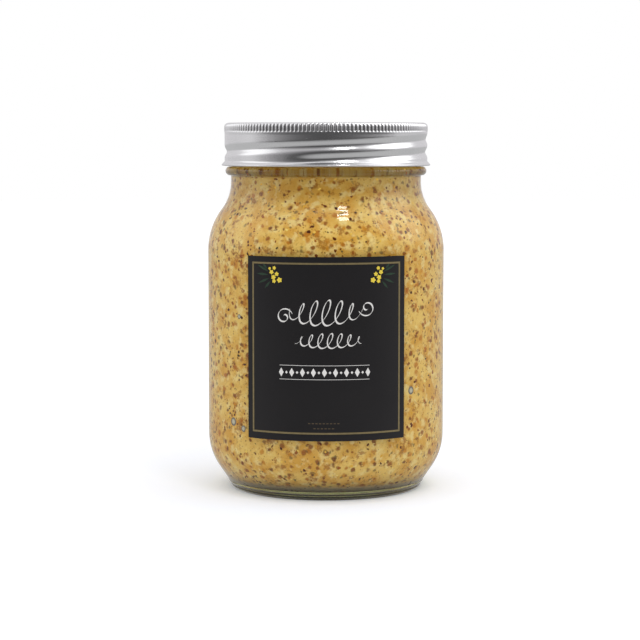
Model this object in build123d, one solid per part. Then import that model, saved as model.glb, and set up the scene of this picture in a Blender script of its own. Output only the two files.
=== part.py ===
from build123d import *
import math
import os

os.makedirs("parts", exist_ok=True)

# A preserving jar full of wholegrain mustard, with a one-piece screw lid and a label.
# Millimetres. The jar stands on z = 0, its axis is Z, and the middle of the label faces -Y.

# Glass body
jar_height = 128.0        # standing plane to the rim
body_radius = 41.6        # outside of the straight side
wall = 2.8                # glass thickness of side, shoulder and neck
neck_radius = 33.45       # outside of the neck and of the finish under the lid
neck_straight = 2.3       # upright neck between the shoulder curve and the bead
shoulder_height = 24.0    # from the straight side up to the upright neck
shoulder_bend = 24.0      # radius of the outward-curving half of the shoulder
rim_round = 1.0

# Foot of the jar
heel_height = 19.5        # where the heel curve reaches the straight side
heel_bend = 21.0
heel_slope = 34.0         # degrees from upright, between the heel curve and the foot curve
foot_bend = 2.6           # small curve between the sloping heel and the standing ring
ring_width = 2.2          # flat standing ring
push_up = 2.2             # rise of the underside in the middle
push_up_flat = 9.0        # radius of the flat middle of the underside
floor_height = 5.0        # inside floor above the standing plane
floor_bend = 14.0         # inside curve between floor and side

# Bead below the lid, used to hold the hot glass when the jar is made
bead_bulge = 1.95
bead_height = 3.0
bead_clearance = 0.3      # gap between the bead and the lid's lower edge

# Screw lid
lid_height = 15.0
lid_sheet = 0.6
lid_round = 1.5
knurl_bulge = 0.2         # how far the knurled band stands out from the skirt
knurl_band = 3.2          # from the lid's top to the lower end of the flutes
flute_count = 160
flute_radius = 0.48
flute_depth = 0.28
flange_reach = 1.05       # how far the lower edge is turned out
flange_height = 0.9
flange_round = 0.4

# Thread, two starts, right-handed
thread_lead = 8.8
thread_starts = 2
groove_depth = 0.85       # rolled groove on the outside of the skirt
groove_bend = 2.0         # radius of its hollow
groove_low = 2.0          # lower end of each groove above the lid's lower edge
groove_high = 5.4         # upper end of each groove below the lid's top
groove_end_angle = 16.0   # where the first groove runs out, anticlockwise from +X
ridge_height = 1.05       # rounded ridge on the glass
ridge_bend = 1.2          # radius of its rounding
thread_clearance = 0.55   # gap between the ridge and the skirt's inside

# Contents and label
headspace = 3.0           # rim down to the mustard
label_width = 57.0        # measured round the side
label_sheet = 0.2
label_gap_low = 2.3       # above the heel curve
label_gap_high = 0.2      # below the shoulder curve

# Levels and radii that follow from the sizes above
lid_top = jar_height + lid_sheet
lid_bottom = lid_top - lid_height
bead_top = lid_bottom - bead_clearance
bead_bottom = bead_top - bead_height
neck_bottom = bead_bottom - neck_straight
shoulder_bottom = neck_bottom - shoulder_height
mustard_level = jar_height - headspace
ridge_radius = neck_radius + ridge_height
lid_inner_radius = ridge_radius + thread_clearance
lid_wall_radius = lid_inner_radius + lid_sheet
knurl_radius = lid_wall_radius + knurl_bulge
knurl_bottom = lid_top - knurl_band
thread_spacing = thread_lead / thread_starts


def s_curve(lower, upper, first_bend):
    """Two arcs that leave lower and reach upper upright, the first of radius first_bend."""
    across = lower[0] - upper[0]
    rise = upper[1] - lower[1]
    both_bends = (across**2 + rise**2) / (2 * across)
    share = first_bend / both_bends
    middle = (lower[0] - share * across, lower[1] + share * rise)
    first = TangentArc(lower, middle, tangent=(0, 1))
    return [first, TangentArc(middle, upper, tangent=first % 1)]


def solid_of_turn(outline):
    """The solid that an outline, drawn as radius and height, makes about Z."""
    return revolve(Plane.XZ * make_face(outline), Axis.Z)


def foot_outline():
    """Underside, standing ring, sloping heel and heel curve, from the axis to the straight side."""
    slope = math.radians(heel_slope)
    heel_end = (
        body_radius - heel_bend * (1 - math.cos(slope)),
        heel_height - heel_bend * math.sin(slope),
    )
    foot_top = foot_bend * (1 - math.sin(slope))
    foot_end = (heel_end[0] - (heel_end[1] - foot_top) * math.tan(slope), foot_top)
    ring_outer = foot_end[0] - foot_bend * math.cos(slope)
    ring_inner = ring_outer - ring_width
    upwards = (math.sin(slope), math.cos(slope))
    return [
        Line((0, push_up), (push_up_flat, push_up)),
        TangentArc((push_up_flat, push_up), (ring_inner, 0), tangent=(1, 0)),
        Line((ring_inner, 0), (ring_outer, 0)),
        TangentArc((ring_outer, 0), foot_end, tangent=(1, 0)),
        Line(foot_end, heel_end),
        TangentArc(heel_end, (body_radius, heel_height), tangent=upwards),
    ]


def jar_outside():
    """Everything inside the jar's outer surface, without the thread."""
    bead_middle = (neck_radius + bead_bulge, (bead_bottom + bead_top) / 2)
    bead = ThreePointArc((neck_radius, bead_bottom), bead_middle, (neck_radius, bead_top))
    outline = [
        *foot_outline(),
        Line((body_radius, heel_height), (body_radius, shoulder_bottom)),
        *s_curve((body_radius, shoulder_bottom), (neck_radius, neck_bottom), shoulder_bend),
        Line((neck_radius, neck_bottom), (neck_radius, bead_bottom)),
        bead,
        Line((neck_radius, bead_top), (neck_radius, jar_height)),
        Line((neck_radius, jar_height), (0, jar_height)),
        Line((0, jar_height), (0, push_up)),
    ]
    return solid_of_turn(outline)


def cavity(top):
    """The inside of the jar, from its floor up to a level."""
    side = body_radius - wall
    mouth = neck_radius - wall
    floor_edge = (side - floor_bend, floor_height)
    side_start = (side, floor_height + floor_bend)
    outline = [
        Line((0, floor_height), floor_edge),
        TangentArc(floor_edge, side_start, tangent=(1, 0)),
        Line(side_start, (side, shoulder_bottom)),
        *s_curve((side, shoulder_bottom), (mouth, neck_bottom), shoulder_bend - wall),
        Line((mouth, neck_bottom), (mouth, top)),
        Line((mouth, top), (0, top)),
        Line((0, top), (0, floor_height)),
    ]
    return solid_of_turn(outline)


def thread_rods(path_radius, rod_radius, rise=0.0, overrun=0.0):
    """Round rods along the starts of the thread, raised by rise, longer by overrun at each end."""
    extra = overrun / path_radius * thread_lead / (2 * math.pi)
    low = lid_bottom + groove_low - extra
    high = lid_top - groove_high + extra
    path = Helix(thread_lead, high - low, path_radius)
    section = Plane(origin=path @ 0, z_dir=path % 0) * Circle(rod_radius)
    rod = sweep(section, path=path, is_frenet=True)
    end_angle = groove_end_angle + math.degrees(overrun / path_radius)
    first_angle = end_angle - 360 * (high - low) / thread_lead
    step = 360 / thread_starts
    return [Pos(0, 0, low + rise) * Rot(0, 0, first_angle + i * step) * rod for i in range(thread_starts)]


def glass_jar():
    """The jar, with a round-edged rim and a rounded ridge for each start of the thread."""
    glass = jar_outside() - cavity(jar_height)
    rim_edges = glass.edges().filter_by_position(Axis.Z, jar_height, jar_height)
    glass = fillet(rim_edges, rim_round)
    for rod in thread_rods(ridge_radius - ridge_bend, ridge_bend, rise=thread_spacing / 2):
        glass += rod
    return glass


def lid_outside():
    """Everything inside the lid's outer surface, before fluting and thread."""
    flange_top = lid_bottom + flange_height
    flange_radius = lid_wall_radius + flange_reach
    corners = [
        (0, lid_bottom),
        (flange_radius, lid_bottom),
        (flange_radius, flange_top),
        (lid_wall_radius, flange_top),
        (lid_wall_radius, knurl_bottom - knurl_bulge),
        (knurl_radius, knurl_bottom),
        (knurl_radius, lid_top),
        (0, lid_top),
    ]
    face = make_face(Polyline(*corners, close=True))
    top_corner = face.vertices().sort_by_distance((knurl_radius, lid_top))[0]
    face = fillet(top_corner, lid_round)
    edge_corners = face.vertices().sort_by_distance((flange_radius, lid_bottom + flange_height / 2))[:2]
    face = fillet(edge_corners, flange_round)
    return revolve(Plane.XZ * face, Axis.Z)


def flutes():
    """Upright round cutters spaced evenly round the knurled band."""
    centre = knurl_radius + flute_radius - flute_depth
    cutter = Cylinder(flute_radius, knurl_band, align=(Align.CENTER, Align.CENTER, Align.MIN))
    return PolarLocations(centre, flute_count) * (Pos(0, 0, knurl_bottom) * cutter)


def screw_lid():
    """A pressed sheet cap: fluted edge, rolled thread grooves and an outturned lower edge."""
    groove_centre = lid_wall_radius - groove_depth + groove_bend
    outside = lid_outside() - flutes()
    for rod in thread_rods(groove_centre, groove_bend):
        outside -= rod
    inside = Pos(0, 0, lid_bottom) * Cylinder(
        lid_inner_radius, lid_height - lid_sheet, align=(Align.CENTER, Align.CENTER, Align.MIN)
    )
    inside = fillet(inside.edges().group_by(Axis.Z)[-1], lid_round - lid_sheet)
    for rod in thread_rods(groove_centre, groove_bend + lid_sheet, overrun=lid_sheet):
        inside -= rod
    return outside - inside


def label():
    """A rectangle of film wrapped round the front of the straight side."""
    low = heel_height + label_gap_low
    high = shoulder_bottom - label_gap_high
    corners = [
        (body_radius, low),
        (body_radius + label_sheet, low),
        (body_radius + label_sheet, high),
        (body_radius, high),
    ]
    face = Plane.XZ * make_face(Polyline(*corners, close=True))
    angle = math.degrees(label_width / body_radius)
    return Rot(0, 0, -90 - angle / 2) * revolve(face, Axis.Z, angle)


nodes = {
    "glass_jar": glass_jar(),
    "mustard": cavity(mustard_level),
    "screw_lid": screw_lid(),
    "label": label(),
}
for name, shape in nodes.items():
    print(name, round(shape.volume / 1000, 2), "cm3", shape.is_valid)
    export_step(shape, f"parts/{name}.step")
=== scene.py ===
# %% [markdown]
# # A jar of wholegrain mustard
#
# A half-litre preserving jar of clear glass stands on a white table, full of wholegrain mustard,
# under a screw lid of bright aluminium sheet. The construction model fixes where everything is.
# This lesson gives each piece its surface, and every cell prints what it made.

# %% Load the frame
import math

import bmesh
import bpy
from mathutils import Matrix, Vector


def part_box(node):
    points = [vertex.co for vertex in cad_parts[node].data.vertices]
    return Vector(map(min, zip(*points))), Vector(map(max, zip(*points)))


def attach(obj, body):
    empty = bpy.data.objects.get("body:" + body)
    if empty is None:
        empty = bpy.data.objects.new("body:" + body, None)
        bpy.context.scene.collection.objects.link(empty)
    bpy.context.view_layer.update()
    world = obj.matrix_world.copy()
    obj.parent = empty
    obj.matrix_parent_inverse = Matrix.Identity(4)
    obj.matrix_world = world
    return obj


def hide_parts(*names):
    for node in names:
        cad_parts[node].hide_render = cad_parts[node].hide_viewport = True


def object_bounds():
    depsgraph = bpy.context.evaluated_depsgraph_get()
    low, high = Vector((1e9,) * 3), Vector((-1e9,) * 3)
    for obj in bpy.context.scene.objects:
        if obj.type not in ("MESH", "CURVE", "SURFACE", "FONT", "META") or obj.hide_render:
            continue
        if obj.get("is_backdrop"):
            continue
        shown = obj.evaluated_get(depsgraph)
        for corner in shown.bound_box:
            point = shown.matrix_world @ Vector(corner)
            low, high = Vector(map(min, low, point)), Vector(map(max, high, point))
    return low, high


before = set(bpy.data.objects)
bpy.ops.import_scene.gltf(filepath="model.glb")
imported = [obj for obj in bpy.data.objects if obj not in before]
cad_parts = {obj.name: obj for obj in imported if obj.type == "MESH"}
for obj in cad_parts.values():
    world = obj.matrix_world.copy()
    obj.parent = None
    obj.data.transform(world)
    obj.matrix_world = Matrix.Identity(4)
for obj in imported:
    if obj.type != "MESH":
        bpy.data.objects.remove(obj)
cad_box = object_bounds()
MM = 0.001

# %% [markdown]
# ## Sizes
#
# The frame gives the outer sizes of the glass, the lid, the mustard and the label. The sizes of
# their curves are the maker's own, in millimetres, and everything else is worked out from both.

# %% Sizes of the jar, the lid and the label
jar_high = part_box("glass_jar")[1]
lid_low, lid_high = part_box("screw_lid")
fill_low, fill_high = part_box("mustard")
label_low, label_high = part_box("label")

JAR_TOP = jar_high.z / MM
BODY = 41.6               # radius of the straight side
WALL = 2.8
NECK = 33.45
HEEL_TOP, HEEL_BEND, HEEL_SLOPE, FOOT_BEND = 19.5, 21.0, 34.0, 0.9
# two soft rolls in the sloping heel: height, bulge and half height
ROLLS = ((2.6, 0.20, 0.50), (1.0, 0.32, 0.58))
RING_WIDTH, PUSH_UP, PUSH_UP_FLAT = 2.2, 2.2, 9.0
FLOOR, FLOOR_BEND = fill_low.z / MM, 14.0
SHOULDER_BEND, SHOULDER_HEIGHT, NECK_STRAIGHT = 24.0, 24.0, 2.3
BEAD_HEIGHT, BEAD_BULGE, BEAD_GAP = 3.0, 1.95, 0.3
LID_TOP, LID_BOTTOM = lid_high.z / MM, lid_low.z / MM
FILL_TOP = fill_high.z / MM
BEAD_TOP = LID_BOTTOM - BEAD_GAP
BEAD_BOTTOM = BEAD_TOP - BEAD_HEIGHT
NECK_BOTTOM = BEAD_BOTTOM - NECK_STRAIGHT
SHOULDER_BOTTOM = NECK_BOTTOM - SHOULDER_HEIGHT
print(f"jar {JAR_TOP:.1f} mm high, lid {LID_BOTTOM:.1f} to {LID_TOP:.1f} mm")
print(f"shoulder from {SHOULDER_BOTTOM:.1f} to {NECK_BOTTOM:.1f} mm")

# %% [markdown]
# ## Turning an outline
#
# Glass jars, lids and their contents are round, so one outline of radius and height, turned
# about the axis, makes the whole skin. A Screw modifier would do it too. Plain mesh code keeps
# the poles closed and every face pointing outwards, because the outline runs up the outside.

# %% The lathe
def straight(start, end, pieces=1):
    """Points from start towards end, without the end itself."""
    return [
        (start[0] + (end[0] - start[0]) * i / pieces, start[1] + (end[1] - start[1]) * i / pieces)
        for i in range(pieces)
    ]


def bend(centre, radius, first, last, pieces):
    """Points on an arc from one angle to another, in degrees, without the last."""
    angles = [math.radians(first + (last - first) * i / pieces) for i in range(pieces)]
    return [(centre[0] + radius * math.cos(a), centre[1] + radius * math.sin(a)) for a in angles]


def new_piece(name, points, faces):
    """An object at the origin from points in millimetres, shaded smooth."""
    mesh = bpy.data.meshes.new(name)
    mesh.from_pydata([(x * MM, y * MM, z * MM) for x, y, z in points], [], faces)
    mesh.shade_smooth()
    piece = bpy.data.objects.new(name, mesh)
    bpy.context.scene.collection.objects.link(piece)
    return piece


def turned(name, outline, columns):
    """Turn an outline that starts and ends on the axis into a closed skin."""
    points, rows, faces = [], [], []
    for radius, height in outline:
        count = 1 if radius < 1e-6 else columns
        rows.append(range(len(points), len(points) + count))
        for i in range(count):
            angle = 2 * math.pi * i / columns
            points.append((radius * math.cos(angle), radius * math.sin(angle), height))
    for low, high in zip(rows, rows[1:]):
        for i in range(columns):
            a, b = low[i % len(low)], low[(i + 1) % len(low)]
            d, c = high[i % len(high)], high[(i + 1) % len(high)]
            corners = [a, b, c, d]
            faces.append([p for n, p in enumerate(corners) if p not in corners[:n]])
    piece = new_piece(name, points, faces)
    print(f"{name}: {len(points)} points, {len(faces)} faces")
    return piece


def mend_normals(piece):
    """Point every face outwards."""
    shape = bmesh.new()
    shape.from_mesh(piece.data)
    bmesh.ops.recalc_face_normals(shape, faces=shape.faces)
    shape.to_mesh(piece.data)
    shape.free()


# %% [markdown]
# ## The jar's two skins
#
# The shoulder is two arcs that meet at a slant: one bends out of the upright side, the other
# bends back into the upright neck. The same rule with the wall taken off gives the inside, so
# the wall keeps its thickness all the way up. The mustard uses the inside skin again. The heel
# slopes in to a narrow standing ring, and two soft rolls in it catch the light as pale lines.

# %% Outlines of the glass
def shoulder(inset):
    """The S-shaped shoulder, moved inwards by inset, from the side up to the neck."""
    across = BODY - NECK
    turn = math.degrees(2 * math.atan(across / SHOULDER_HEIGHT))
    both_bends = (across**2 + SHOULDER_HEIGHT**2) / (2 * across)
    hollow_bend = both_bends - SHOULDER_BEND
    out = bend((BODY - SHOULDER_BEND, SHOULDER_BOTTOM), SHOULDER_BEND - inset, 0, turn, 24)
    back = bend((NECK + hollow_bend, NECK_BOTTOM), hollow_bend + inset, 180 + turn, 180, 16)
    return out + back


def foot():
    """Underside, standing ring, sloping heel with its two soft rolls, and heel curve, from the axis."""
    slope = math.radians(HEEL_SLOPE)
    heel_end = (BODY - HEEL_BEND * (1 - math.cos(slope)), HEEL_TOP - HEEL_BEND * math.sin(slope))
    foot_top = FOOT_BEND * (1 - math.sin(slope))
    foot_end = (heel_end[0] - (heel_end[1] - foot_top) * math.tan(slope), foot_top)
    ring = foot_end[0] - FOOT_BEND * math.cos(slope)
    ring_inside = ring - RING_WIDTH
    dome = ((ring_inside - PUSH_UP_FLAT) ** 2 + PUSH_UP**2) / (2 * PUSH_UP)
    fall = math.degrees(math.asin((ring_inside - PUSH_UP_FLAT) / dome))
    sloping = []
    for x, z in straight(foot_end, heel_end, 64):
        out = sum(
            bulge * 0.5 * (1 + math.cos(math.pi * min(abs(z - middle) / reach, 1.0)))
            for middle, bulge, reach in ROLLS
        )
        sloping.append((x + out * math.cos(slope), z - out * math.sin(slope)))
    return (
        straight((0, PUSH_UP), (PUSH_UP_FLAT, PUSH_UP), 3)
        + bend((PUSH_UP_FLAT, PUSH_UP - dome), dome, 90, 90 - fall, 12)
        + straight((ring_inside, 0), (ring, 0), 3)
        + bend((ring, FOOT_BEND), FOOT_BEND, -90, -HEEL_SLOPE, 12)
        + sloping
        + bend((BODY - HEEL_BEND, HEEL_TOP), HEEL_BEND, -HEEL_SLOPE, 0, 24)
    )


def inside(inset, top):
    """The cavity's outline from the axis on its floor up to a height at the mouth."""
    side, mouth = BODY - inset, NECK - inset
    grown = WALL - inset
    floor_bend = FLOOR_BEND + grown
    return (
        straight((0, FLOOR - grown), (side - floor_bend, FLOOR - grown), 5)
        + bend((side - floor_bend, FLOOR + FLOOR_BEND), floor_bend, -90, 0, 20)
        + straight((side, FLOOR + FLOOR_BEND), (side, SHOULDER_BOTTOM), 30)
        + shoulder(inset)
        + straight((mouth, NECK_BOTTOM), (mouth, top), 12)
    )


def jar_outline():
    rim = 1.0
    bead_turn = math.degrees(2 * math.atan(2 * BEAD_BULGE / BEAD_HEIGHT))
    bead_bend = (BEAD_HEIGHT / 2) / math.sin(math.radians(bead_turn))
    bead_centre = (NECK + BEAD_BULGE - bead_bend, (BEAD_BOTTOM + BEAD_TOP) / 2)
    mouth = NECK - WALL
    hollow = inside(WALL, JAR_TOP - rim)
    return (
        foot()
        + straight((BODY, HEEL_TOP), (BODY, SHOULDER_BOTTOM), 30)
        + shoulder(0)
        + straight((NECK, NECK_BOTTOM), (NECK, BEAD_BOTTOM), 3)
        + bend(bead_centre, bead_bend, -bead_turn, bead_turn, 14)
        + straight((NECK, BEAD_TOP), (NECK, JAR_TOP - rim), 40)
        + bend((NECK - rim, JAR_TOP - rim), rim, 0, 90, 6)
        + straight((NECK - rim, JAR_TOP), (mouth + rim, JAR_TOP), 2)
        + bend((mouth + rim, JAR_TOP - rim), rim, 90, 180, 6)
        + [(mouth, JAR_TOP - rim)]
        + hollow[::-1]
    )


# %% [markdown]
# ## Small helpers for node trees
#
# Node trees are easier to read when one line adds one node. A value may be a number or the
# socket of an earlier node, and the helper either sets it or links it.

# %% Node helpers
def plug(tree, value, socket):
    """Link a socket to an input, or set the input to a plain value."""
    if isinstance(value, bpy.types.NodeSocket):
        tree.links.new(value, socket)
    else:
        socket.default_value = value


def node(tree, kind, inputs=None, **settings):
    """Add a node, set its settings, and fill its inputs by name or number."""
    made = tree.nodes.new(kind)
    for name, value in settings.items():
        setattr(made, name, value)
    for name, value in (inputs or {}).items():
        plug(tree, value, made.inputs[name])
    return made


def calc(tree, operation, *values, clamp=False):
    """The result of one Math node."""
    kind = "ShaderNodeMath"
    made = node(tree, kind, dict(enumerate(values)), operation=operation, use_clamp=clamp)
    return made.outputs[0]


def between(tree, value, low, high, first, last, smooth=True):
    """The value's place between low and high, as a number between first and last."""
    made = node(
        tree,
        "ShaderNodeMapRange",
        {"Value": value, "From Min": low, "From Max": high, "To Min": first, "To Max": last},
        interpolation_type="SMOOTHSTEP" if smooth else "LINEAR",
    )
    return made.outputs[0]


def noise(tree, place, scale, detail=2.0, roughness=0.5):
    """The grey value of a noise pattern."""
    inputs = {"Vector": place, "Scale": scale, "Detail": detail, "Roughness": roughness}
    return node(tree, "ShaderNodeTexNoise", inputs).outputs["Fac"]


def blend_colour(tree, amount, first, second):
    """first where the amount is 0, second where it is 1."""
    made = node(tree, "ShaderNodeMix", {0: amount}, data_type="RGBA")
    plug(tree, first, made.inputs[6])
    plug(tree, second, made.inputs[7])
    return made.outputs[2]


def colour(red, green, blue):
    """A colour as a picture editor writes it, from 0 to 255, in the renderer's own scale."""
    parts = [c / 255 for c in (red, green, blue)]
    return tuple(c / 12.92 if c <= 0.04045 else ((c + 0.055) / 1.055) ** 2.4 for c in parts) + (1.0,)


def new_material(name):
    """A material with its node tree, its shader and its Object coordinates."""
    material = bpy.data.materials.new(name)
    material.use_nodes = True
    tree = material.node_tree
    shader = tree.nodes["Principled BSDF"]
    place = node(tree, "ShaderNodeTexCoord").outputs["Object"]
    return material, tree, shader, place


def bump(tree, shader, height, strength, distance):
    """Feed a height pattern to the shader's normal."""
    made = node(tree, "ShaderNodeBump", {"Strength": strength, "Distance": distance, "Height": height})
    plug(tree, made.outputs[0], shader.inputs["Normal"])


# %% [markdown]
# ## Geometry Nodes, then a plain mesh
#
# A node group gets named inputs for its sizes, so that one group serves several pieces. After
# the modifier has worked, its result is copied into a plain mesh and the modifier is taken off.

# %% Running a geometry tree
def new_shape_tree(name, inputs):
    """A geometry tree with named inputs. Returns it and its input sockets by name."""
    tree = bpy.data.node_groups.new(name, "GeometryNodeTree")
    tree.interface.new_socket("Geometry", in_out="INPUT", socket_type="NodeSocketGeometry")
    for title, kind in inputs.items():
        tree.interface.new_socket(title, in_out="INPUT", socket_type=kind)
    tree.interface.new_socket("Geometry", in_out="OUTPUT", socket_type="NodeSocketGeometry")
    entry = tree.nodes.new("NodeGroupInput")
    return tree, entry.outputs


def finish_shape_tree(tree, geometry, material):
    """Real geometry with its material, at the end of a tree."""
    real = node(tree, "GeometryNodeRealizeInstances", {"Geometry": geometry})
    dressed = node(tree, "GeometryNodeSetMaterial", {"Geometry": real.outputs[0], "Material": material})
    way_out = tree.nodes.new("NodeGroupOutput")
    tree.links.new(dressed.outputs[0], way_out.inputs[0])


def run_tree(piece, tree, values):
    """Apply a geometry tree to a piece with these inputs, and keep the result as its mesh."""
    modifier = piece.modifiers.new(tree.name, "NODES")
    modifier.node_group = tree
    for item in tree.interface.items_tree:
        if item.in_out == "INPUT" and item.name in values:
            modifier[item.identifier] = values[item.name]
    graph = bpy.context.evaluated_depsgraph_get()
    mesh = bpy.data.meshes.new_from_object(piece.evaluated_get(graph))
    piece.modifiers.clear()
    piece.data = mesh
    print(f"{piece.name}: {len(mesh.polygons)} faces after {tree.name}")
    return piece


def wear(piece, material, node_name=None):
    """Give a finished piece its material and its body, and hide the construction node it stands for."""
    if not piece.data.materials:
        piece.data.materials.append(material)
    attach(piece, "root")
    if node_name:
        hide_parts(node_name)


# %% [markdown]
# ## Rolling a thread into a skin
#
# The lid's thread is rolled into its sheet as shallow helical grooves, and the glass has a
# ridge to match. Both are one rule: find how far each point lies above or below the nearest
# start of the helix, and push it in or out. A negative depth makes a ridge. The same tree rolls
# the fine upright flutes of the lid's upper edge, so the knurl is a cosine of the angle.

# %% The thread and flute tree
FLOAT, INTEGER, MATERIAL = "NodeSocketFloat", "NodeSocketInt", "NodeSocketMaterial"
FLUTE_LEDGE = 0.25 * MM   # height over which a flute starts; it ends over three times that
SKIN_DEPTH = 1.6 * MM     # points deeper than this below the skin stay where they are


def raised_cosine(tree, angle):
    """1 at an angle of 0, 0 at half a turn."""
    return calc(tree, "MULTIPLY_ADD", calc(tree, "COSINE", angle), 0.5, 0.5)


def thread_offset(tree, angle, height, given, start):
    """How deep one start of the thread lies at a point, from 0 outside it to 1 in its middle."""
    high = given[f"High {start}"]
    turns = calc(tree, "DIVIDE", calc(tree, "SUBTRACT", angle, given[f"End angle {start}"]), 2 * math.pi)
    along = calc(tree, "SUBTRACT", calc(tree, "FRACT", turns), 1.0)
    span = calc(tree, "DIVIDE", calc(tree, "SUBTRACT", high, given["Low"]), given["Lead"])
    middle = calc(tree, "MULTIPLY_ADD", along, given["Lead"], high)
    above = calc(tree, "SUBTRACT", height, middle)
    up = calc(tree, "DIVIDE", calc(tree, "MAXIMUM", above, 0.0), given["Reach up"])
    below = calc(tree, "MAXIMUM", calc(tree, "MULTIPLY", above, -1.0), 0.0)
    down = calc(tree, "DIVIDE", below, given["Reach down"])
    away = calc(tree, "MINIMUM", calc(tree, "ADD", up, down), 1.0)
    wave = raised_cosine(tree, calc(tree, "MULTIPLY", away, math.pi))
    wave = calc(tree, "POWER", wave, given["Tightness"])
    run_in = between(tree, calc(tree, "ADD", along, span), 0.0, given["Run out"], 0.0, 1.0)
    run_out = between(tree, along, calc(tree, "MULTIPLY", given["Run out"], -1.0), 0.0, 1.0, 0.0)
    return calc(tree, "MULTIPLY", wave, calc(tree, "MULTIPLY", run_in, run_out))


def build_rolling_tree():
    sizes = ["Lead", "Low", "High 1", "High 2", "End angle 1", "End angle 2"]
    sizes += ["Reach up", "Reach down", "Tightness", "Run out", "Depth"]
    sizes += ["Skin radius", "Flutes", "Flute depth", "Flute low", "Flute high"]
    inputs = {name: FLOAT for name in sizes}
    inputs["Material"] = MATERIAL
    tree, given = new_shape_tree("roll thread and flutes", inputs)
    position = node(tree, "GeometryNodeInputPosition").outputs[0]
    split = node(tree, "ShaderNodeSeparateXYZ", {0: position}).outputs
    angle = calc(tree, "ARCTAN2", split[1], split[0])
    squares = [calc(tree, "POWER", split[axis], 2.0) for axis in (0, 1)]
    flat_distance = calc(tree, "SQRT", calc(tree, "ADD", *squares))
    starts = [thread_offset(tree, angle, split[2], given, start) for start in (1, 2)]
    groove = calc(tree, "MULTIPLY", calc(tree, "ADD", *starts), given["Depth"])
    wave = raised_cosine(tree, calc(tree, "MULTIPLY", angle, given["Flutes"]))
    low, high = given["Flute low"], given["Flute high"]
    lower = between(tree, split[2], low, calc(tree, "ADD", low, FLUTE_LEDGE), 0.0, 1.0)
    upper = between(tree, split[2], calc(tree, "SUBTRACT", high, 3 * FLUTE_LEDGE), high, 1.0, 0.0)
    flute = calc(tree, "MULTIPLY", wave, given["Flute depth"])
    flute = calc(tree, "MULTIPLY", flute, calc(tree, "MULTIPLY", lower, upper))
    skin = calc(tree, "SUBTRACT", given["Skin radius"], SKIN_DEPTH)
    near_skin = calc(tree, "GREATER_THAN", flat_distance, skin)
    inwards = calc(tree, "MULTIPLY", calc(tree, "ADD", groove, flute), near_skin)
    outwards = calc(tree, "MULTIPLY", inwards, -1.0)
    share = calc(tree, "DIVIDE", outwards, calc(tree, "MAXIMUM", flat_distance, MM))
    steps = {axis: calc(tree, "MULTIPLY", split[axis], share) for axis in (0, 1)}
    move = node(tree, "ShaderNodeCombineXYZ", steps)
    pushed = {"Geometry": given["Geometry"], "Offset": move.outputs[0]}
    moved = node(tree, "GeometryNodeSetPosition", pushed)
    finish_shape_tree(tree, moved.outputs[0], given["Material"])
    return tree


rolling = build_rolling_tree()
THREAD = {
    "Lead": 8.8 * MM,
    "Low": (LID_BOTTOM + 2.0) * MM,
    "High 1": (LID_TOP - 5.4) * MM,
    "High 2": (LID_TOP - 6.9) * MM,
    "End angle 1": math.radians(16.0),
    "End angle 2": math.radians(135.0),
    "Run out": 0.07,
}

# %% [markdown]
# ## The glass
#
# Soda-lime glass bends light by 1.5 and is very slightly green where one looks through a lot
# of it. Lamp light has to reach the mustard inside, so the material lets shadow and diffuse
# rays straight through, and only what the eye sees directly is bent and mirrored. The thick
# foot lets less light through, so the table is darkest where the jar touches it.

# %% Glass material and the jar
def glass_material():
    material, tree, shader, place = new_material("clear soda-lime glass")
    shader.inputs["Base Color"].default_value = (0.985, 0.995, 0.988, 1)
    shader.inputs["Roughness"].default_value = 0.0
    shader.inputs["IOR"].default_value = 1.5
    shader.inputs["Transmission Weight"].default_value = 1.0
    ripple = noise(tree, place, 90.0, detail=1.0)
    bump(tree, shader, ripple, 0.25, 0.0006)
    light = node(tree, "ShaderNodeLightPath").outputs
    straight_through = calc(tree, "MAXIMUM", light["Is Shadow Ray"], light["Is Diffuse Ray"])
    height = node(tree, "ShaderNodeSeparateXYZ", {0: place}).outputs[2]
    thick_foot = between(tree, height, 0.0, FLOOR * MM, 1.0, 0.0)
    let_through = blend_colour(tree, thick_foot, (0.97, 0.985, 0.975, 1), (0.26, 0.27, 0.21, 1))
    clear = node(tree, "ShaderNodeBsdfTransparent", {"Color": let_through})
    surfaces = {0: straight_through, 1: shader.outputs[0], 2: clear.outputs[0]}
    mix = node(tree, "ShaderNodeMixShader", surfaces)
    green_tint = {"Color": (0.90, 0.91, 0.66, 1), "Density": 50.0}
    tint = node(tree, "ShaderNodeVolumeAbsorption", green_tint)
    output = tree.nodes["Material Output"]
    plug(tree, mix.outputs[0], output.inputs["Surface"])
    plug(tree, tint.outputs[0], output.inputs["Volume"])
    return material


glass = glass_material()
jar = turned("glass_body", jar_outline(), 256)
run_tree(jar, rolling, THREAD | {
    "Low": THREAD["Low"] + 2.2 * MM,
    "High 1": THREAD["High 1"] + 2.2 * MM,
    "High 2": THREAD["High 2"] + 2.2 * MM,
    "Reach up": 1.5 * MM,
    "Reach down": 1.5 * MM,
    "Tightness": 1.0,
    "Depth": -1.05 * MM,
    "Skin radius": NECK * MM,
    "Flutes": 1.0,
    "Flute depth": 0.0,
    "Flute low": 0.5,
    "Flute high": 0.6,
    "Material": glass,
})
wear(jar, glass, "glass_jar")

# %% [markdown]
# ## The lid
#
# The lid is drawn from one round sheet of aluminium, so its outline is a sheet with an inside
# and an outside: a flat top with a shallow panel, a rounded corner, an upright skirt and a
# lower edge turned outwards into a small hem. The tree then rolls the thread and the flutes.

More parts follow.
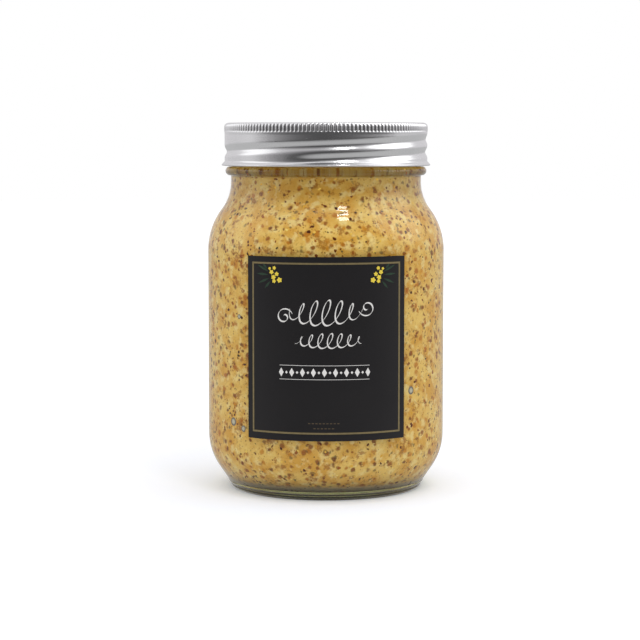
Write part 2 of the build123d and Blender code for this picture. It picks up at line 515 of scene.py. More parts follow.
# %% Lid outline and material
SHEET = 0.6
THREAD_RIDGE, THREAD_PLAY = 1.05, 0.55
SKIRT = NECK + THREAD_RIDGE + THREAD_PLAY + SHEET
EDGE = SKIRT + 0.08       # the fluted edge stands out a little
CORNER = 1.5
KNURL_BOTTOM = LID_TOP - 3.2
PANEL, PANEL_DROP, PANEL_BEND = 31.0, 0.35, 0.6
HEM, FLARE = 0.38, 1.1    # radius of the hem, and the height over which the skirt turns out


def lid_outline():
    inner = SKIRT - SHEET
    hem_centre = (lid_high.x / MM - HEM, LID_BOTTOM + HEM)
    hem_top = (hem_centre[0] + 0.5 * HEM, hem_centre[1] + 0.87 * HEM)
    floor = LID_TOP - PANEL_DROP
    return (
        straight((0, LID_TOP - SHEET), (inner - 0.9, LID_TOP - SHEET), 2)
        + bend((inner - 0.9, LID_TOP - CORNER), CORNER - SHEET, 90, 0, 4)
        + straight((inner, LID_TOP - CORNER), (inner, LID_BOTTOM + FLARE), 18)
        + straight((inner, LID_BOTTOM + FLARE), (hem_centre[0], LID_BOTTOM), 3)
        + bend(hem_centre, HEM, -90, 60, 8)
        + straight(hem_top, (SKIRT + 0.1, LID_BOTTOM + 1.45), 3)
        + straight((SKIRT, LID_BOTTOM + 1.6), (SKIRT, KNURL_BOTTOM - 0.9), 36)
        + straight((SKIRT, KNURL_BOTTOM - 0.9), (EDGE, KNURL_BOTTOM + 0.7), 8)
        + straight((EDGE, KNURL_BOTTOM + 0.7), (EDGE, LID_TOP - CORNER), 3)
        + bend((EDGE - CORNER, LID_TOP - CORNER), CORNER, 0, 90, 8)
        + straight((EDGE - CORNER, LID_TOP), (PANEL, LID_TOP), 3)
        + bend((PANEL, LID_TOP - PANEL_BEND), PANEL_BEND, 90, 150, 4)
        + straight((PANEL - 1.0, floor), (0, floor), 2)
        + [(0, floor)]
    )


def aluminium_material():
    material, tree, shader, place = new_material("bright aluminium sheet")
    shader.inputs["Metallic"].default_value = 1.0
    parts = node(tree, "ShaderNodeSeparateXYZ", {0: place}).outputs
    rolled = node(tree, "ShaderNodeMapping", {"Vector": place, "Scale": (40, 40, 2600)}).outputs[0]
    streaks = noise(tree, rolled, 1.0, detail=3.0)
    cloud = noise(tree, place, 60.0, detail=4.0)
    mixed = calc(tree, "MULTIPLY_ADD", streaks, 0.5, calc(tree, "MULTIPLY", cloud, 0.5))
    plug(tree, between(tree, mixed, 0.3, 0.7, 0.19, 0.29), shader.inputs["Roughness"])
    tone = blend_colour(tree, cloud, colour(226, 226, 228), colour(240, 240, 241))
    plug(tree, tone, shader.inputs["Base Color"])
    bump(tree, shader, streaks, 0.12, 0.00004)
    return material


aluminium = aluminium_material()
lid = turned("lid_shell", lid_outline(), 960)
run_tree(lid, rolling, THREAD | {
    "Reach up": 2.5 * MM,
    "Reach down": 2.2 * MM,
    "Tightness": 1.3,
    "Depth": 0.76 * MM,
    "Skin radius": SKIRT * MM,
    "Flutes": 160.0,
    "Flute depth": 0.36 * MM,
    "Flute low": KNURL_BOTTOM * MM,
    "Flute high": (LID_TOP - 0.12) * MM,
    "Material": aluminium,
})
wear(lid, aluminium, "screw_lid")

# %% [markdown]
# ## The mustard
#
# Behind the glass lies a coarse paste: pale ground seed with specks of bran. Its skin reaches
# a little into the wall, so that no film of air shows between paste and glass. Its colour
# comes from patterns of several sizes: broad drifts, brown clumps, the blotches of buried
# seeds, and fine specks. Light and shade are painted into it as well: towards the neck it is
# darker, partly painted shade from the lid and partly browning, a painted shadow lies under the
# lid, and the underside is painted dark in its middle and pale towards its edge.
# Whole seeds and husks are real shapes and come in the next cells.

# %% Paste material and the filling
INTO_WALL = 0.15
WET = 0.03                # a surface pressed against glass hardly shines


def buried_seeds(tree, place, base):
    """Lay four sizes of round blotches over a colour. Each has a share of its cells filled."""
    for scale, share, size, softness, strength, dark, light in (
        (330.0, 0.50, 0.34, 0.45, 0.85, colour(176, 96, 16), colour(206, 136, 34)),
        (430.0, 0.50, 0.36, 0.42, 0.9, colour(104, 50, 10), colour(158, 88, 26)),
        (540.0, 0.18, 0.34, 0.45, 0.75, colour(80, 62, 34), colour(124, 100, 56)),
        (1000.0, 0.34, 0.30, 0.45, 0.6, colour(140, 80, 24), colour(186, 122, 46)),
    ):
        cells = node(tree, "ShaderNodeTexVoronoi", {"Vector": place, "Scale": scale}).outputs
        draw = node(tree, "ShaderNodeSeparateColor", {0: cells["Color"]}).outputs
        reach = calc(tree, "MULTIPLY_ADD", draw[1], 0.6 * size, 0.5 * size)
        edge = calc(tree, "DIVIDE", cells["Distance"], reach)
        spot = between(tree, edge, 1.0 - softness, 1.0 + softness, strength, 0.0)
        chosen = calc(tree, "LESS_THAN", draw[0], share)
        tone = blend_colour(tree, draw[2], dark, light)
        base = blend_colour(tree, calc(tree, "MULTIPLY", spot, chosen), base, tone)
    return base


def paste_with_painted_light_and_shade(tree, place, base):
    """Darken the paste towards the neck (partly painted shade from the lid, partly browning), paint the
    lid's shadow under it, and paint light and shade on its underside.
    """
    height = node(tree, "ShaderNodeSeparateXYZ", {0: place}).outputs[2]
    # darker towards the neck: partly painted shade from the lid, partly browning of the paste
    neck_shade_and_browning = between(tree, height, (SHOULDER_BOTTOM + 14) * MM, NECK_BOTTOM * MM, 0.0, 0.34)
    # painted shadow under the lid, between its hem and the bead
    painted_lid_shadow = between(tree, height, (BEAD_BOTTOM - 1) * MM, (BEAD_TOP - 0.5) * MM, 0.0, 0.55)
    brown = blend_colour(tree, 0.72, base, colour(70, 40, 10))
    base = blend_colour(tree, neck_shade_and_browning, base, brown)
    base = blend_colour(tree, painted_lid_shadow, base, colour(46, 30, 8))
    # the underside: painted shade, dark in the middle where the jar stands, and painted light, pale towards
    # its edge where light comes in through the glass foot
    flat = {0: place, 1: (1.0, 1.0, 0.0)}
    sides = node(tree, "ShaderNodeVectorMath", flat, operation="MULTIPLY").outputs[0]
    radius = node(tree, "ShaderNodeVectorMath", {0: sides}, operation="LENGTH").outputs["Value"]
    lit_edge_share = between(tree, radius, 0.015, 0.019, 0.0, 1.0)
    underside_painted_light_and_shade = blend_colour(tree, lit_edge_share, colour(16, 12, 2), colour(236, 210, 178))
    underside = between(tree, height, (FLOOR + 0.1) * MM, (FLOOR + 1.4) * MM, 0.9, 0.0)
    return blend_colour(tree, underside, base, underside_painted_light_and_shade)


def paste_material():
    material, tree, shader, place = new_material("mustard paste")
    drift = noise(tree, place, 150.0, detail=3.0)
    cream = noise(tree, place, 330.0, detail=3.0)
    grain = noise(tree, place, 1100.0, detail=4.0, roughness=0.65)
    clump = noise(tree, place, 250.0, detail=6.0, roughness=0.72)
    drifts = between(tree, drift, 0.36, 0.64, 0.0, 1.0)
    creamy = between(tree, cream, 0.50, 0.66, 0.0, 0.75)
    gritty = between(tree, grain, 0.5, 0.72, 0.0, 0.45)
    clumped = between(tree, clump, 0.55, 0.64, 0.0, 0.74)
    base = blend_colour(tree, drifts, colour(222, 166, 70), colour(238, 198, 110))
    base = blend_colour(tree, creamy, base, colour(245, 218, 150))
    base = blend_colour(tree, gritty, base, colour(190, 124, 34))
    base = blend_colour(tree, clumped, base, colour(156, 90, 24))
    crooked = node(tree, "ShaderNodeTexNoise", {"Vector": place, "Scale": 600.0, "Detail": 2.0})
    shift = {0: crooked.outputs["Color"], 1: (0.0016, 0.0016, 0.0016), 2: place}
    shifted = node(tree, "ShaderNodeVectorMath", shift, operation="MULTIPLY_ADD").outputs[0]
    base = paste_with_painted_light_and_shade(tree, place, buried_seeds(tree, shifted, base))
    plug(tree, base, shader.inputs["Base Color"])
    plug(tree, between(tree, grain, 0.3, 0.7, 0.42, 0.6), shader.inputs["Roughness"])
    shader.inputs["Specular IOR Level"].default_value = WET
    bump(tree, shader, grain, 0.3, 0.0002)
    return material


paste = paste_material()
filling_outline = inside(WALL - INTO_WALL, FILL_TOP)
filling_outline += straight((NECK - WALL + INTO_WALL, FILL_TOP), (0, FILL_TOP), 6) + [(0, FILL_TOP)]
filling = turned("mustard_paste", filling_outline, 192)
wear(filling, paste, "mustard")

# %% [markdown]
# ## Seeds and husks
#
# Whole seeds and torn husks press against the glass. One tree scatters small bodies over the
# paste's skin: it picks points, draws a size for each, lays it flat against the wall, lets it
# stand a little proud of the paste, and writes a random tint that the material reads.

# %% The scattering tree
def build_scatter_tree():
    sizes = ["Per square metre", "Smallest", "Largest", "Flatness", "Longest", "Proud", "Roughen"]
    inputs = {name: FLOAT for name in sizes}
    inputs |= {"Seed": INTEGER, "Segments": INTEGER, "Rings": INTEGER, "Material": MATERIAL}
    tree, given = new_shape_tree("press seeds against the glass", inputs)
    points = node(tree, "GeometryNodeDistributePointsOnFaces", {
        "Mesh": given["Geometry"], "Density": given["Per square metre"], "Seed": given["Seed"]}).outputs

    def draw(low, high, salt):
        seed = calc(tree, "ADD", given["Seed"], float(salt))
        made = node(tree, "FunctionNodeRandomValue", {"Seed": seed})
        plug(tree, low, made.inputs[2])
        plug(tree, high, made.inputs[3])
        return made.outputs[1]

    chance = calc(tree, "POWER", draw(0.0, 1.0, 1), 1.6)
    spread = calc(tree, "SUBTRACT", given["Largest"], given["Smallest"])
    size = calc(tree, "MULTIPLY_ADD", chance, spread, given["Smallest"])
    thick = calc(tree, "MULTIPLY", size, given["Flatness"])
    rise = calc(tree, "SUBTRACT", given["Proud"], thick)
    shift = node(tree, "ShaderNodeVectorMath", {0: points["Normal"]}, operation="SCALE")
    plug(tree, rise, shift.inputs["Scale"])
    sunk = node(tree, "GeometryNodeSetPosition", {"Geometry": points["Points"], "Offset": shift.outputs[0]})
    facets = {"Radius": 1.0, "Segments": given["Segments"], "Rings": given["Rings"]}
    body = node(tree, "GeometryNodeMeshUVSphere", facets)
    length = calc(tree, "MULTIPLY", size, draw(1.0, given["Longest"], 2))
    scale = node(tree, "ShaderNodeCombineXYZ", {0: length, 1: size, 2: thick})
    spin = node(tree, "ShaderNodeCombineXYZ", {2: draw(0.0, 2 * math.pi, 3)})
    facing = {"Rotation": points["Rotation"], "Rotate By": spin.outputs[0]}
    turned_about = node(tree, "FunctionNodeRotateRotation", facing, rotation_space="LOCAL")
    laid = node(tree, "GeometryNodeInstanceOnPoints", {
        "Points": sunk.outputs[0], "Instance": body.outputs[0], "Scale": scale.outputs[0]})
    plug(tree, turned_about.outputs[0], laid.inputs["Rotation"])
    named = {"Geometry": laid.outputs[0], "Name": "tint"}
    tinted = node(tree, "GeometryNodeStoreNamedAttribute", named, data_type="FLOAT", domain="INSTANCE")
    plug(tree, draw(0.0, 1.0, 4), tinted.inputs["Value"])
    real = node(tree, "GeometryNodeRealizeInstances", {"Geometry": tinted.outputs[0]})
    wobble = node(tree, "ShaderNodeTexNoise", {"Scale": 900.0, "Detail": 1.0})
    about_zero = {0: wobble.outputs["Color"], 1: (0.5, 0.5, 0.5)}
    centred = node(tree, "ShaderNodeVectorMath", about_zero, operation="SUBTRACT")
    rough = node(tree, "ShaderNodeVectorMath", {0: centred.outputs[0]}, operation="SCALE")
    plug(tree, given["Roughen"], rough.inputs["Scale"])
    jolted = {"Geometry": real.outputs[0], "Offset": rough.outputs[0]}
    uneven = node(tree, "GeometryNodeSetPosition", jolted)
    smooth = node(tree, "GeometryNodeSetShadeSmooth", {"Geometry": uneven.outputs[0]})
    finish_shape_tree(tree, smooth.outputs[0], given["Material"])
    return tree


def seed_material(name, dark, middle, light, roughness):
    material, tree, shader, place = new_material(name)
    tint = node(tree, "ShaderNodeAttribute", attribute_name="tint").outputs["Fac"]
    mottle = noise(tree, place, 1500.0, detail=2.0)
    tone = calc(tree, "MULTIPLY_ADD", calc(tree, "SUBTRACT", mottle, 0.5), 0.5, tint, clamp=True)
    first_half = between(tree, tone, 0.0, 0.5, 0.0, 1.0, smooth=False)
    second_half = between(tree, tone, 0.5, 1.0, 0.0, 1.0, smooth=False)
    lower = blend_colour(tree, first_half, dark, middle)
    plug(tree, blend_colour(tree, second_half, lower, light), shader.inputs["Base Color"])
    shader.inputs["Roughness"].default_value = roughness
    shader.inputs["Specular IOR Level"].default_value = WET
    bump(tree, shader, mottle, 0.2, 0.0001)
    return material


# %% [markdown]
# ## Four kinds of bits
#
# Brown seeds and their broken halves, dark bran, pale whole yellow seeds, and small crumbs of
# husk. Each kind is one piece, and its sizes are in millimetres. "shape" is the number of
# segments and rings of one body, which stays low because there are so many.

# %% Scatter the bits
scatter = build_scatter_tree()
KINDS = {
    "brown_seeds": dict(
        tones=(colour(74, 32, 6), colour(120, 58, 16), colour(168, 96, 30)), roughness=0.5,
        per=36000, small=0.46, large=1.2, flat=0.45, long=1.35, proud=0.05, roughen=0.7,
        shape=(9, 6), seed=11),
    "dark_bran": dict(
        tones=(colour(52, 40, 20), colour(86, 66, 34), colour(122, 98, 52)), roughness=0.5,
        per=9000, small=0.40, large=0.85, flat=0.5, long=1.5, proud=0.03, roughen=0.6,
        shape=(8, 5), seed=23),
    "yellow_seeds": dict(
        tones=(colour(224, 164, 48), colour(240, 196, 84), colour(248, 220, 130)), roughness=0.5,
        per=14000, small=0.5, large=1.0, flat=0.35, long=1.15, proud=0.05, roughen=0.4,
        shape=(9, 6), seed=37),
    "husk_crumbs": dict(
        tones=(colour(120, 66, 20), colour(168, 104, 38), colour(212, 156, 72)), roughness=0.55,
        per=80000, small=0.16, large=0.38, flat=0.5, long=2.0, proud=0.04, roughen=0.3,
        shape=(6, 4), seed=53),
}
for name, kind in KINDS.items():
    material = seed_material(name.replace("_", " "), *kind["tones"], kind["roughness"])
    bits = bpy.data.objects.new(name, filling.data.copy())
    bpy.context.scene.collection.objects.link(bits)
    bits.data.materials.clear()
    run_tree(bits, scatter, {
        "Per square metre": float(kind["per"]),
        "Smallest": kind["small"] * MM,
        "Largest": kind["large"] * MM,
        "Flatness": kind["flat"],
        "Longest": kind["long"],
        "Proud": kind["proud"] * MM,
        "Roughen": kind["roughen"] * MM,
        "Seed": kind["seed"],
        "Segments": kind["shape"][0],
        "Rings": kind["shape"][1],
        "Material": material,
    })
    wear(bits, material)

# %% [markdown]
# ## Air pockets
#
# A few bubbles of air stay caught between the paste and the wall when a jar is filled. Each is a
# flat drop whose colour is a painted reflection: grey at its rim and pale in its middle.

# %% Air pockets against the wall
POCKET_RISE, POCKET_SUNK = 0.22, 0.12     # a drop's thickness, and how deep its rim lies


def pocket_material():
    material, tree, shader, place = new_material("air against glass")
    rim = node(tree, "ShaderNodeAttribute", attribute_name="rim").outputs["Fac"]
    grain = noise(tree, place, 1800.0)
    edge = between(tree, calc(tree, "MULTIPLY_ADD", grain, 0.3, rim), 0.45, 0.85, 0.0, 1.0)
    # painted reflection of an air pocket against glass: grey at the rim, pale in the middle
    pocket_painted_reflection = blend_colour(tree, edge, colour(198, 190, 172), colour(108, 104, 100))
    plug(tree, pocket_painted_reflection, shader.inputs["Base Color"])
    shader.inputs["Roughness"].default_value = 0.25
    return material


def air_pockets(places, steps=6, around=18):
    """Flat drops. A place is an angle from the front, a height, a width and a length."""
    points, faces, rims = [], [], []
    wall = BODY - WALL + INTO_WALL

    def add(turn, height, share):
        radius = wall + POCKET_RISE * (1 - share**4) - POCKET_SUNK
        points.append((radius * math.sin(turn), -radius * math.cos(turn), height))
        rims.append(share)

    for turn_deg, height, width, length in places:
        middle, first = len(points), len(points) + 1
        add(math.radians(turn_deg), height, 0.0)
        for step in range(1, steps + 1):
            share = step / steps
            for i in range(around):
                angle = 2 * math.pi * i / around
                turn = math.radians(turn_deg) + 0.5 * width * share * math.cos(angle) / wall
                add(turn, height + 0.5 * length * share * math.sin(angle), share)
        rings = [[first + step * around + i for i in range(around)] for step in range(steps)]
        for i in range(around):
            j = (i + 1) % around
            faces.append([middle, rings[0][i], rings[0][j]])
            faces += [[low[i], high[i], high[j], low[j]] for low, high in zip(rings, rings[1:])]
        faces.append(rings[-1][::-1])
    piece = new_piece("air_pockets", points, faces)
    mend_normals(piece)
    piece.data.attributes.new("rim", "FLOAT", "POINT").data.foreach_set("value", rims)
    print("air_pockets:", len(places), "drops")
    return piece


POCKETS = [
    (46.2, 37.3, 3.0, 3.4), (-52.2, 26.1, 3.4, 3.6), (-44.8, 24.2, 2.4, 2.8), (-47.6, 62.6, 1.9, 2.0),
    (128.0, 70.0, 2.4, 2.6), (-150.0, 44.0, 2.6, 3.2),
]
wear(air_pockets(POCKETS), pocket_material())

# %% [markdown]
# ## The label
#
# The label is a satin black film round the front. Its print is drawn as thin shapes laid on
# the curved film, so that edges stay sharp from close by. A shape is drawn flat, as a distance
# round the side and a height, and wrapped onto the side afterwards.

# %% Wrapping flat shapes round the side
FILM = 0.2
LAP = 0.02                # how far film and ink reach into what they lie on
LABEL_WIDTH = 57.0
LABEL_LOW, LABEL_HIGH = label_low.z / MM, label_high.z / MM


def wrapped(name, strips, inner, outer, material, node_name=None):
    """Thin solids from strips. A strip is a list of (left, right) pairs of flat points."""
    points, faces = [], []

    def place(point, radius):
        angle = point[0] / BODY
        points.append((radius * math.sin(angle), -radius * math.cos(angle), point[1]))
        return len(points) - 1

    for strip in strips:
        rows = [
            [place(p, r) for p, r in ((a, inner), (b, inner), (b, outer), (a, outer))]
            for a, b in strip
        ]
        for low, high in zip(rows, rows[1:]):
            for i in range(4):
                j = (i + 1) % 4
                faces.append([low[i], low[j], high[j], high[i]])
        faces.append(rows[0][::-1])
        faces.append(rows[-1])
    piece = new_piece(name, points, faces)
    piece.data.shade_flat()
    mend_normals(piece)
    wear(piece, material, node_name)
    print(f"{name}: {len(strips)} strips, {len(faces)} faces")
    return piece


def bar(left, right, low, high, pieces=40):
    """A rectangle as a strip that runs from left to right."""
    xs = [left + (right - left) * i / pieces for i in range(pieces + 1)]
    return [((x, low), (x, high)) for x in xs]


# %% [markdown]
# ## Film and inks
#
# The film is a dark plastic with a broad satin sheen. The gold ink is a dull metallic line, and
# the white, yellow and green inks are matt.

# %% Label materials
def film_material():
    material, tree, shader, place = new_material("black label film")
    grain = noise(tree, place, 2500.0, detail=2.0)
    soft = noise(tree, place, 45.0, detail=2.0)
    black = blend_colour(tree, soft, colour(29, 27, 29), colour(36, 34, 35))
    plug(tree, black, shader.inputs["Base Color"])
    plug(tree, between(tree, grain, 0.3, 0.7, 0.42, 0.52), shader.inputs["Roughness"])
    shader.inputs["Specular IOR Level"].default_value = 0.3
    bump(tree, shader, grain, 0.08, 0.00005)
    return material


def ink_material(name, first, second, roughness=0.55, metallic=0.0):
    material, tree, shader, place = new_material(name)
    patchy = noise(tree, place, 900.0, detail=3.0)
    plug(tree, blend_colour(tree, patchy, first, second), shader.inputs["Base Color"])
    shader.inputs["Metallic"].default_value = metallic
    shader.inputs["Roughness"].default_value = roughness
    return material


film = film_material()
gold = ink_material("dull gold ink", colour(118, 104, 72), colour(150, 134, 92), 0.45, 0.3)
faint_gold = ink_material("faint gold ink", colour(70, 58, 42), colour(96, 80, 56))
white = ink_material("white ink", colour(225, 222, 218), colour(240, 238, 235))
yellow = ink_material("yellow ink", colour(232, 200, 50), colour(245, 222, 80))
green = ink_material("green ink", colour(24, 48, 34), colour(44, 74, 50))

half = LABEL_WIDTH / 2
sheet = [bar(-half, half, LABEL_LOW, LABEL_HIGH, 96)]
wrapped("label_sheet", sheet, BODY - LAP, BODY + FILM, film, node_name="label")

# %% [markdown]
# ## The printed frame
#
# A thin gold frame follows the label's edge. It is four bars, which lie on the film as ink does.

# %% Printed frame
INK = BODY + FILM + 0.03
FRAME_LINE, FRAME_IN, FRAME_UP = 0.6, 1.95, 2.3

frame_left, frame_low, frame_high = half - FRAME_IN, LABEL_LOW + FRAME_UP, LABEL_HIGH - FRAME_IN
frame_bars = [
    bar(-frame_left, frame_left, frame_low, frame_low + FRAME_LINE, 80),
    bar(-frame_left, frame_left, frame_high - FRAME_LINE, frame_high, 80),
    bar(-frame_left, -frame_left + FRAME_LINE, frame_low, frame_high, 1),
    bar(frame_left - FRAME_LINE, frame_left, frame_low, frame_high, 1),
]
wrapped("label_gold_frame", frame_bars, BODY + FILM - LAP, INK, gold)

# %% [markdown]
# ## Scrolls and beads
#
# The middle carries plain scrolls, drawn as a broad-nib pen draws them: thick where the pen moves
# across the nib's edge, thin along it, and pointed at both ends. A stroke follows a path, which is
# a row of loops or a curl that winds in. A row of beads between two rules closes the ornament.

# %% Scrolls and beads
def pen(path, first, last, thin, thick, pieces=200, nib=50.0):
    """A stroke along path(t), with a nib held at an angle in degrees."""
    marks = [path(first + (last - first) * i / pieces) for i in range(pieces + 1)]
    strip = []
    for i, (x, y) in enumerate(marks):
        before, after = marks[max(i - 1, 0)], marks[min(i + 1, pieces)]
        heading = math.atan2(after[1] - before[1], after[0] - before[0])
        taper = min(1.0, 8.0 * i / pieces, 8.0 * (pieces - i) / pieces)
        across = abs(math.sin(heading - math.radians(nib)))
        half_width = 0.5 * (thin + (thick - thin) * across) * (0.3 + 0.7 * taper)
        side = (-math.sin(heading) * half_width, math.cos(heading) * half_width)
        strip.append(((x - side[0], y - side[1]), (x + side[0], y + side[1])))
    return strip


def garland(middle, height, pitch, reach, turns, slant=0.32):
    """The path of a running row of loops that shrink towards both ends."""
    def path(t):
        swell = 1.0 - 0.62 * (2.0 * t / turns) ** 2
        lift = reach[1] * swell * math.cos(2 * math.pi * t)
        x = middle + pitch * t - reach[0] * swell * math.sin(2 * math.pi * t) + slant * lift
        return x, height + lift
    return path


def spiral(centre, size, turns, facing, heading):
    """The path of a curl that winds in to its centre. facing is 1 or -1."""
    def path(t):
        angle = math.radians(heading) + facing * 2 * math.pi * turns * t
        reach = size * (1.0 - 0.86 * t)
        return centre[0] + reach * math.cos(angle), centre[1] + reach * math.sin(angle)
    return path


def lozenge(x, height, wide, high):
    """A diamond as one strip."""
    point = 0.01
    return [
        ((x - wide, height), (x - wide, height + point)),
        ((x, height - high), (x, height + high)),
        ((x + wide, height), (x + wide, height + point)),
    ]


ROW_1, ROW_2, ROW_3 = LABEL_HIGH - 18.7, LABEL_HIGH - 28.1, LABEL_HIGH - 38.8
scrolls = [
    pen(garland(-0.4, ROW_1, 4.1, (1.9, 4.3), 5.8), -2.9, 2.9, 0.10, 0.62, 420),
    pen(spiral((-14.3, ROW_1 - 1.4), 3.0, 1.3, 1, 20), 0.0, 1.0, 0.10, 0.55, 90),
    pen(spiral((13.8, ROW_1 + 1.6), 3.0, 1.3, 1, 200), 0.0, 1.0, 0.10, 0.55, 90),
    pen(garland(1.0, ROW_2, 3.2, (1.4, 2.5), 7.0), -3.5, 3.5, 0.10, 0.52, 420),
]
wrapped("label_white_scrolls", scrolls, BODY + FILM - LAP, INK, white)

ORNAMENT_MIDDLE, BEAD_PITCH, RULE_AWAY, RULE_HALF = -0.6, 3.7, 2.35, 0.07
beads = []
for step in range(-4, 5):
    x = ORNAMENT_MIDDLE + BEAD_PITCH * step
    beads.append(lozenge(x, ROW_3, 0.85, 1.5))
    if step < 4:
        beads.append(lozenge(x + BEAD_PITCH / 2, ROW_3, 0.45, 0.5))
for side in (-1, 1):
    rule = ROW_3 + side * RULE_AWAY
    beads.append(bar(-16.0, 14.8, rule - RULE_HALF, rule + RULE_HALF, 24))
wrapped("label_white_beads", beads, BODY + FILM - LAP, INK, white)

# %% [markdown]
# ## Blossoms and small print
#
# Each upper corner has a sprig of yellow blossoms with green leaves, and the right one is the
# left one's mirror image. A blossom is five petals round its middle. Two rows of faint dashes
# stand where a label has its small print.

# %% Blossoms, leaves and dashes
def mirrored(strips):
    """The strips and their mirror images about the label's middle."""
    return strips + [[((-b[0], b[1]), (-a[0], a[1])) for a, b in strip] for strip in strips]


def petal(centre, heading, length, width, pieces=8):
    """A leaf or petal: a pointed oval from its foot."""
    angle = math.radians(heading)
    strip = []
    for i in range(pieces + 1):
        share = i / pieces
        swell = math.sin(math.pi * min(max(share, 0.02), 0.98))
        reach, half_width = length * share, 0.5 * width * swell
        x, y = centre[0] + reach * math.cos(angle), centre[1] + reach * math.sin(angle)
        across = (-math.sin(angle) * half_width, math.cos(angle) * half_width)
        strip.append(((x - across[0], y - across[1]), (x + across[0], y + across[1])))
    return strip


# each blossom: distance from the middle, drop below the frame's top, and length of a petal
BLOSSOMS = (
    (17.9, 1.9, 0.7), (18.9, 3.3, 0.85), (17.0, 3.9, 0.8), (18.2, 5.0, 0.9),
    (16.0, 5.9, 1.0), (19.6, 2.1, 0.55), (18.0, 6.3, 0.75),
)
# each leaf: the same two places, its heading in degrees, and its length
LEAVES = (
    (20.0, 3.1, 26, 4.8), (20.2, 4.2, 4, 4.4), (19.9, 5.4, -22, 4.4),
    (19.4, 6.4, -48, 3.2), (20.6, 2.2, 46, 2.4),
)
PETALS, LEAF_WIDTH = 5, 0.75
blossoms, leaves = [], []
for x, drop, size in BLOSSOMS:
    middle = (x, frame_high - drop)
    turn = 18 * x
    blossoms += [petal(middle, 360 / PETALS * i + turn, size, 0.75 * size) for i in range(PETALS)]
for x, drop, heading, length in LEAVES:
    leaves.append(petal((x, frame_high - drop), heading, length, LEAF_WIDTH))
wrapped("label_yellow_blossoms", mirrored(blossoms), BODY + FILM + LAP, INK + 0.03, yellow)
wrapped("label_green_leaves", mirrored(leaves), BODY + FILM - LAP, INK, green)

dashes = []
for count, width, rise in ((9, 11.0, 6.0), (6, 7.4, 4.3)):
    pitch = width / count
    for step in range(count):
        left = ORNAMENT_MIDDLE - width / 2 + pitch * step
        height = LABEL_LOW + rise
        dashes.append(bar(left, left + 0.62 * pitch, height - 0.17, height + 0.17, 1))
wrapped("label_gold_dashes", dashes, BODY + FILM - LAP, INK, faint_gold)

# %% [markdown]
# ## The table
#
# The jar stands on a plain white table. Its shadow has to stay on it while its far part melts
# into the white background, so the table glows a little for the eye alone, more so far away.
# The lid and the glass see a painted reflection of the table, a glow that darkens towards the camera, as a
# studio's does. Near the jar the table is painted a little blue, to cancel the yellow light the mustard
# throws on it.

# %% Floor
def floor_material():
    material, tree, shader, place = new_material("white table")
    shader.inputs["Roughness"].default_value = 0.6
    shader.inputs["Emission Color"].default_value = (1, 1, 1, 1)
    shader.inputs["Specular IOR Level"].default_value = 0.0
    light = node(tree, "ShaderNodeLightPath").outputs
    far = node(tree, "ShaderNodeVectorMath", {0: place}, operation="LENGTH").outputs["Value"]
    away = between(tree, far, 0.04, 0.22, 0.0, 1.0)
    # painted light: the table is a little blue near the jar, to cancel the yellow light the mustard throws
    # on it
    bounce_cancelling_tint = blend_colour(tree, away, (0.83, 0.86, 0.93, 1), (0.85, 0.85, 0.86, 1))
    plug(tree, bounce_cancelling_tint, shader.inputs["Base Color"])
    brighten = between(tree, far, 0.1, 0.9, 0.20, 0.52)
    glow = calc(tree, "MULTIPLY", light["Is Camera Ray"], brighten)
    plug(tree, glow, shader.inputs["Emission Strength"])
    depth = node(tree, "ShaderNodeSeparateXYZ", {0: place}).outputs[1]
    towards_camera = calc(tree, "MULTIPLY", depth, -1.0)
    table_edge = between(tree, towards_camera, 0.05, 0.45, 0.55, 0.08)
    # painted reflection: the table glows for glossy rays, less towards the camera
    painted_table_reflection = node(tree, "ShaderNodeEmission", {"Strength": table_edge})
    sides = {0: light["Is Glossy Ray"], 1: shader.outputs[0], 2: painted_table_reflection.outputs[0]}
    mix = node(tree, "ShaderNodeMixShader", sides)
    plug(tree, mix.outputs[0], tree.nodes["Material Output"].inputs["Surface"])
    return material


bpy.ops.mesh.primitive_plane_add(size=6.0, location=(0, 0, 0))
floor = bpy.context.object
floor.name = "white_floor"
floor.data.materials.append(floor_material())
floor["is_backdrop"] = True
print("white_floor:", tuple(round(side, 2) for side in floor.dimensions), "m")

# %% [markdown]
# ## World and lamps
#
# The room behind the camera is dark, and the lid and the glass mirror it, so the world shows
# them a soft dark side to the front, a bright ceiling, and a pale panel to either side of the
# shoulder. The eye itself, and light that passes through glass, see plain white. Two small lamps
# make the panes of a window in the glass, and a large one overhead lights the mustard.

# %% World and lamps
def mirrored_room(tree):
    """What the lid and the glass see: grey by direction, darkest straight to the front."""
    way = node(tree, "ShaderNodeTexCoord").outputs["Generated"]
    parts = node(tree, "ShaderNodeSeparateXYZ", {0: way}).outputs
    to_front = calc(tree, "MULTIPLY", parts[1], -1.0)
    dark_side = node(tree, "ShaderNodeValToRGB", {0: to_front})
    stops = [(0.0, 0.72), (0.34, 0.56), (0.57, 0.36), (0.77, 0.22), (0.91, 0.11), (1.0, 0.07)]
    ramp = dark_side.color_ramp
    while len(ramp.elements) < len(stops):
        ramp.elements.new(0.5)
    for element, (place, grey) in zip(ramp.elements, stops):
        element.position = place
        element.color = (grey, grey * 0.98, grey, 1)
    overhead = between(tree, parts[2], 0.84, 0.98, 0.0, 1.0)
    room = blend_colour(tree, overhead, dark_side.outputs[0], (1.0, 1.0, 1.0, 1))
    for direction, widest, narrowest, glow in (
        ((0.80, 0.05, 0.60), 0.84, 0.97, 2.0),
        ((-0.88, 0.12, 0.46), 0.88, 0.98, 1.3),
    ):
        both = {0: way, 1: direction}
        facing = node(tree, "ShaderNodeVectorMath", both, operation="DOT_PRODUCT").outputs["Value"]
        panel = between(tree, facing, widest, narrowest, 0.0, 1.0)
        room = blend_colour(tree, panel, room, (glow, glow, glow, 1))
    return room


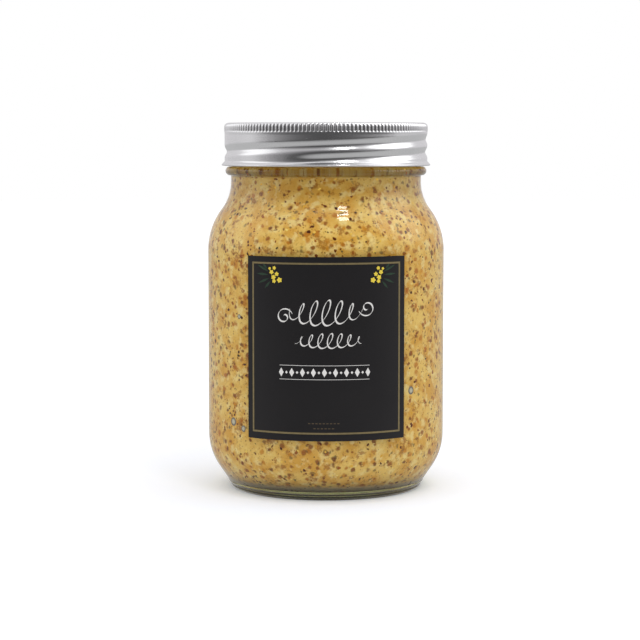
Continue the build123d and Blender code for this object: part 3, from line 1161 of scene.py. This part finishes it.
def studio_world():
    world = bpy.data.worlds.new("studio")
    bpy.context.scene.world = world
    world.use_nodes = True
    tree = world.node_tree
    tree.nodes.clear()
    light = node(tree, "ShaderNodeLightPath").outputs
    white_for = calc(tree, "MAXIMUM", light["Is Camera Ray"], light["Is Transmission Ray"])
    mirror = node(tree, "ShaderNodeBackground", {0: mirrored_room(tree), 1: 1.0}).outputs[0]
    plain = node(tree, "ShaderNodeBackground", {0: (1, 1, 1, 1), 1: 0.71}).outputs[0]
    white_back = node(tree, "ShaderNodeBackground", {0: (1, 1, 1, 1), 1: 1.0}).outputs[0]
    lit = node(tree, "ShaderNodeMixShader", {0: light["Is Glossy Ray"], 1: plain, 2: mirror})
    seen = node(tree, "ShaderNodeMixShader", {0: white_for, 1: lit.outputs[0], 2: white_back})
    node(tree, "ShaderNodeOutputWorld", {"Surface": seen.outputs[0]})
    print("world:", len(tree.nodes), "nodes")


def softbox(name, place, target, size, power):
    """A rectangular lamp that looks at a point."""
    lamp = bpy.data.lights.new(name, "AREA")
    lamp.shape = "RECTANGLE"
    lamp.size, lamp.size_y = size
    lamp.energy = power
    box = bpy.data.objects.new(name, lamp)
    bpy.context.scene.collection.objects.link(box)
    box.location = place
    box.rotation_euler = (Vector(target) - Vector(place)).to_track_quat("-Z", "Y").to_euler()
    print(f"{name}: {power} W, {size[0]} by {size[1]} m")
    return box


studio_world()
aim = (0, 0, 0.07)
softbox("window_upper_pane", (0.215, -0.36, 0.97), aim, (0.17, 0.045), 0.42)
softbox("window_lower_pane", (0.235, -0.48, 0.90), aim, (0.14, 0.11), 0.62)
ceiling = softbox("ceiling_box", (0.1, -0.1, 1.3), aim, (1.2, 1.0), 6.0)
ceiling.visible_glossy = False

# %% [markdown]
# ## Camera
#
# A long lens at about the height of the lid, looking slightly down.

# %% Camera and close
def look(distance, height, sideways, tilt, lens):
    camera = bpy.data.objects.new("camera", bpy.data.cameras.new("camera"))
    bpy.context.scene.collection.objects.link(camera)
    camera.data.lens = lens
    camera.data.sensor_width = 36.0
    camera.location = (sideways, -distance, height)
    camera.rotation_euler = (math.radians(90 - tilt), 0, 0)
    bpy.context.scene.camera = camera
    print(f"camera: {lens} mm lens, {distance} m away")


look(distance=0.707, height=0.1245, sideways=-0.0021, tilt=5.3, lens=112.5)
bpy.context.scene.view_settings.view_transform = "Standard"


def corners(box):
    """A box's two corners as plain lists."""
    return [list(map(float, corner)) for corner in box]


{"cad": corners(cad_box), "visual": corners(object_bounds())}
